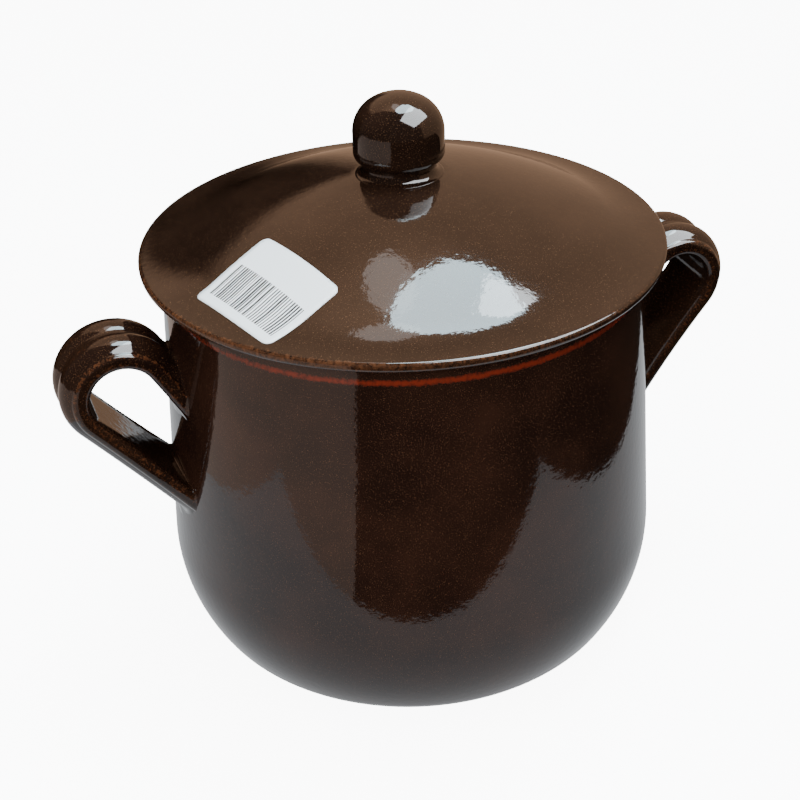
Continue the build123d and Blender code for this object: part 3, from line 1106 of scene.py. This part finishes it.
def add_card(name, mesh, material):
    """Adds a glowing card that only mirror rays can see, turned so that its front faces the camera."""
    turn_about_axis(mesh, CAMERA_AZIMUTH)
    add_stage(name, mesh, material, ("camera", "diffuse", "shadow"))


def floor_card(name, layer, corners, colour):
    """Adds a card that lies on the floor, from its corners: metres to the right and towards the camera."""
    mesh = bmesh.new()
    for right, forward in corners:
        mesh.verts.new((right, -forward, layer * CARD_GAP))
    bmesh.ops.contextual_create(mesh, geom=mesh.verts[:])
    add_card(name, mesh, stage_material(name, BLACK, colour, CARD_STRENGTH))


def oblong(left, right, back, front):
    """The corners of a card with square corners."""
    return [(left, back), (right, back), (right, front), (left, front)]


def side_corners(far):
    """The corners of a card that reaches out to one side from a line in front of the pot."""
    split = [(SPLIT_NEAR, CARD_BACK), (SPLIT_NEAR, 0), (SPLIT_FAR, CARD_FAR)]
    return [(far, CARD_BACK), *split, (far, CARD_FAR)]


floor_card("grey mat", 2, oblong(-MAT_HALF_W, MAT_HALF_W, MAT_BACK, MAT_FRONT), MAT_GREY)
floor_card("left card", 1, side_corners(-CARD_FAR), CARD_WARM)
floor_card("right card", 1, side_corners(CARD_FAR), CARD_DARK)
floor_card("shade card", 3, oblong(SHADE_LEFT, SHADE_RIGHT, SHADE_BACK, SHADE_FRONT), CARD_DARK)
print(f"floor cards reach {CARD_FAR} m from the pot")

# %% [markdown]
# One bright card hangs high at the right. It puts the highlight on the knob and the bright line along the
# lid's front edge. A grid with one face is all it needs, moved out along its direction and turned to face
# the pot.

# %% Hung card
SKY_AZIMUTH, SKY_ELEVATION = 74.0, 60.0
SKY_SIZE, SKY_AWAY = (1.3, 0.95), 1.4
SKY_WHITE, SKY_STRENGTH = (0.92, 0.97, 1.0), 18.0


def hung_card(name):
    """Adds a flat card that hangs above the pot and faces it."""
    mesh = bmesh.new()
    bmesh.ops.create_grid(mesh, x_segments=1, y_segments=1, size=0.5)
    bmesh.ops.scale(mesh, vec=(*SKY_SIZE, 1), verts=mesh.verts)
    away = toward(SKY_AZIMUTH, SKY_ELEVATION)
    facing = away.to_track_quat("Z", "Y").to_matrix().to_4x4()
    bmesh.ops.transform(mesh, matrix=Matrix.Translation(SKY_AWAY * away) @ facing, verts=mesh.verts)
    add_card(name, mesh, stage_material(name, BLACK, SKY_WHITE, SKY_STRENGTH))


hung_card("sky card")
print(f"sky card {SKY_ELEVATION} degrees up, {SKY_AWAY} m away")

# %% [markdown]
# A warm curved card stands behind the pot and gives the lid its brown sheen. It glows more with height, as
# a room lit from above does, and it has a dark corner low at its left end, which leaves the dark sweep
# across the lid. Soft steps in degrees describe that better than a picture would.

# %% Glow of the backdrop
BACKDROP_FROM, BACKDROP_TURN = 60.0, 190.0
BACKDROP_FADE = 5.0
LOW_GLOW, HIGH_GLOW = 0.66, 1.22
RISE_FROM, RISE_FULL = -5.0, 55.0
OVERHEAD_WIDTH = 34.0
OVERHEAD_GAIN = 1.6
CORNER_FROM, CORNER_FULL = 124.0, 131.0
CORNER_TOP, CORNER_CLEAR = 20.0, 27.0
CORNER_SLANT = 0.35


def climb(value, low, high):
    """Nothing up to one value, rising smoothly to one at another."""
    share = min(max((value - low) / (high - low), 0.0), 1.0)
    return share * share * (3 - 2 * share)


def backdrop_glow(turned, height):
    """How brightly the backdrop glows, by the degrees from its start and the degrees above the floor."""
    ends = climb(turned, 0, BACKDROP_FADE) * climb(BACKDROP_TURN - turned, 0, BACKDROP_FADE)
    rise = LOW_GLOW + (HIGH_GLOW - LOW_GLOW) * climb(height, RISE_FROM, RISE_FULL)
    overhead = 1 + OVERHEAD_GAIN * near(height, 90, OVERHEAD_WIDTH)
    above = climb(height - CORNER_SLANT * (turned - CORNER_FROM), CORNER_TOP, CORNER_CLEAR)
    corner = climb(turned, CORNER_FROM, CORNER_FULL) * (1 - above)
    return ends * rise * overhead * (1 - corner)


print(f"glow in the middle: {backdrop_glow(BACKDROP_TURN / 2, 0):.2f} at the floor, "
      f"{backdrop_glow(BACKDROP_TURN / 2, 45):.2f} half way up")

# %% [markdown]
# The card itself is a part of a sphere, made by two spins: one vertex is spun upwards into an arc, and the
# arc is spun round the pot. Each point keeps its glow in an attribute, and the material scales its colour
# by that.

# %% Backdrop
BACKDROP_COLOUR = (0.84, 0.51, 0.32)
BACKDROP_R = 1.7
BACKDROP_LOW, BACKDROP_HIGH = -30.0, 88.0
BACKDROP_ROWS, BACKDROP_COLUMNS = 60, 76
GLOW_MARK = "glow"


def draw_backdrop(mesh):
    """Makes a part of a sphere round the pot by two spins, and marks how it glows."""
    middle = (0, 0, 0)
    mesh.verts.new(BACKDROP_R * toward(0, BACKDROP_LOW))
    rise, turn = radians(BACKDROP_HIGH - BACKDROP_LOW), radians(BACKDROP_TURN)
    bmesh.ops.spin(mesh, geom=mesh.verts[:], cent=middle, axis=(1, 0, 0), angle=-rise, steps=BACKDROP_ROWS)
    turn_about_axis(mesh, BACKDROP_FROM)
    geometry = mesh.verts[:] + mesh.edges[:]
    bmesh.ops.spin(mesh, geom=geometry, cent=middle, axis=(0, 0, 1), angle=turn, steps=BACKDROP_COLUMNS)
    glow = mesh.verts.layers.float.new(GLOW_MARK)
    for vert in mesh.verts:
        turned = (degrees(atan2(vert.co.x, -vert.co.y)) - BACKDROP_FROM) % 360
        vert[glow] = backdrop_glow(turned, degrees(asin(vert.co.z / BACKDROP_R)))


def backdrop_material(name):
    """A glow whose colour is scaled by the glow mark."""
    material = stage_material(name, BLACK, BACKDROP_COLOUR, CARD_STRENGTH)
    tree = material.node_tree
    mark = tree.nodes.new("ShaderNodeAttribute")
    mark.attribute_name = GLOW_MARK
    shaded = tree.nodes.new("ShaderNodeVectorMath")
    shaded.operation = "SCALE"
    shaded.inputs[0].default_value = BACKDROP_COLOUR
    feed(tree, shaded.inputs["Scale"], mark.outputs["Fac"])
    feed(tree, tree.nodes["Principled BSDF"].inputs["Emission Color"], shaded.outputs[0])
    return material


backdrop_mesh = bmesh.new()
draw_backdrop(backdrop_mesh)
print("backdrop:", len(backdrop_mesh.faces), "faces")
add_card("backdrop", backdrop_mesh, backdrop_material("backdrop"))
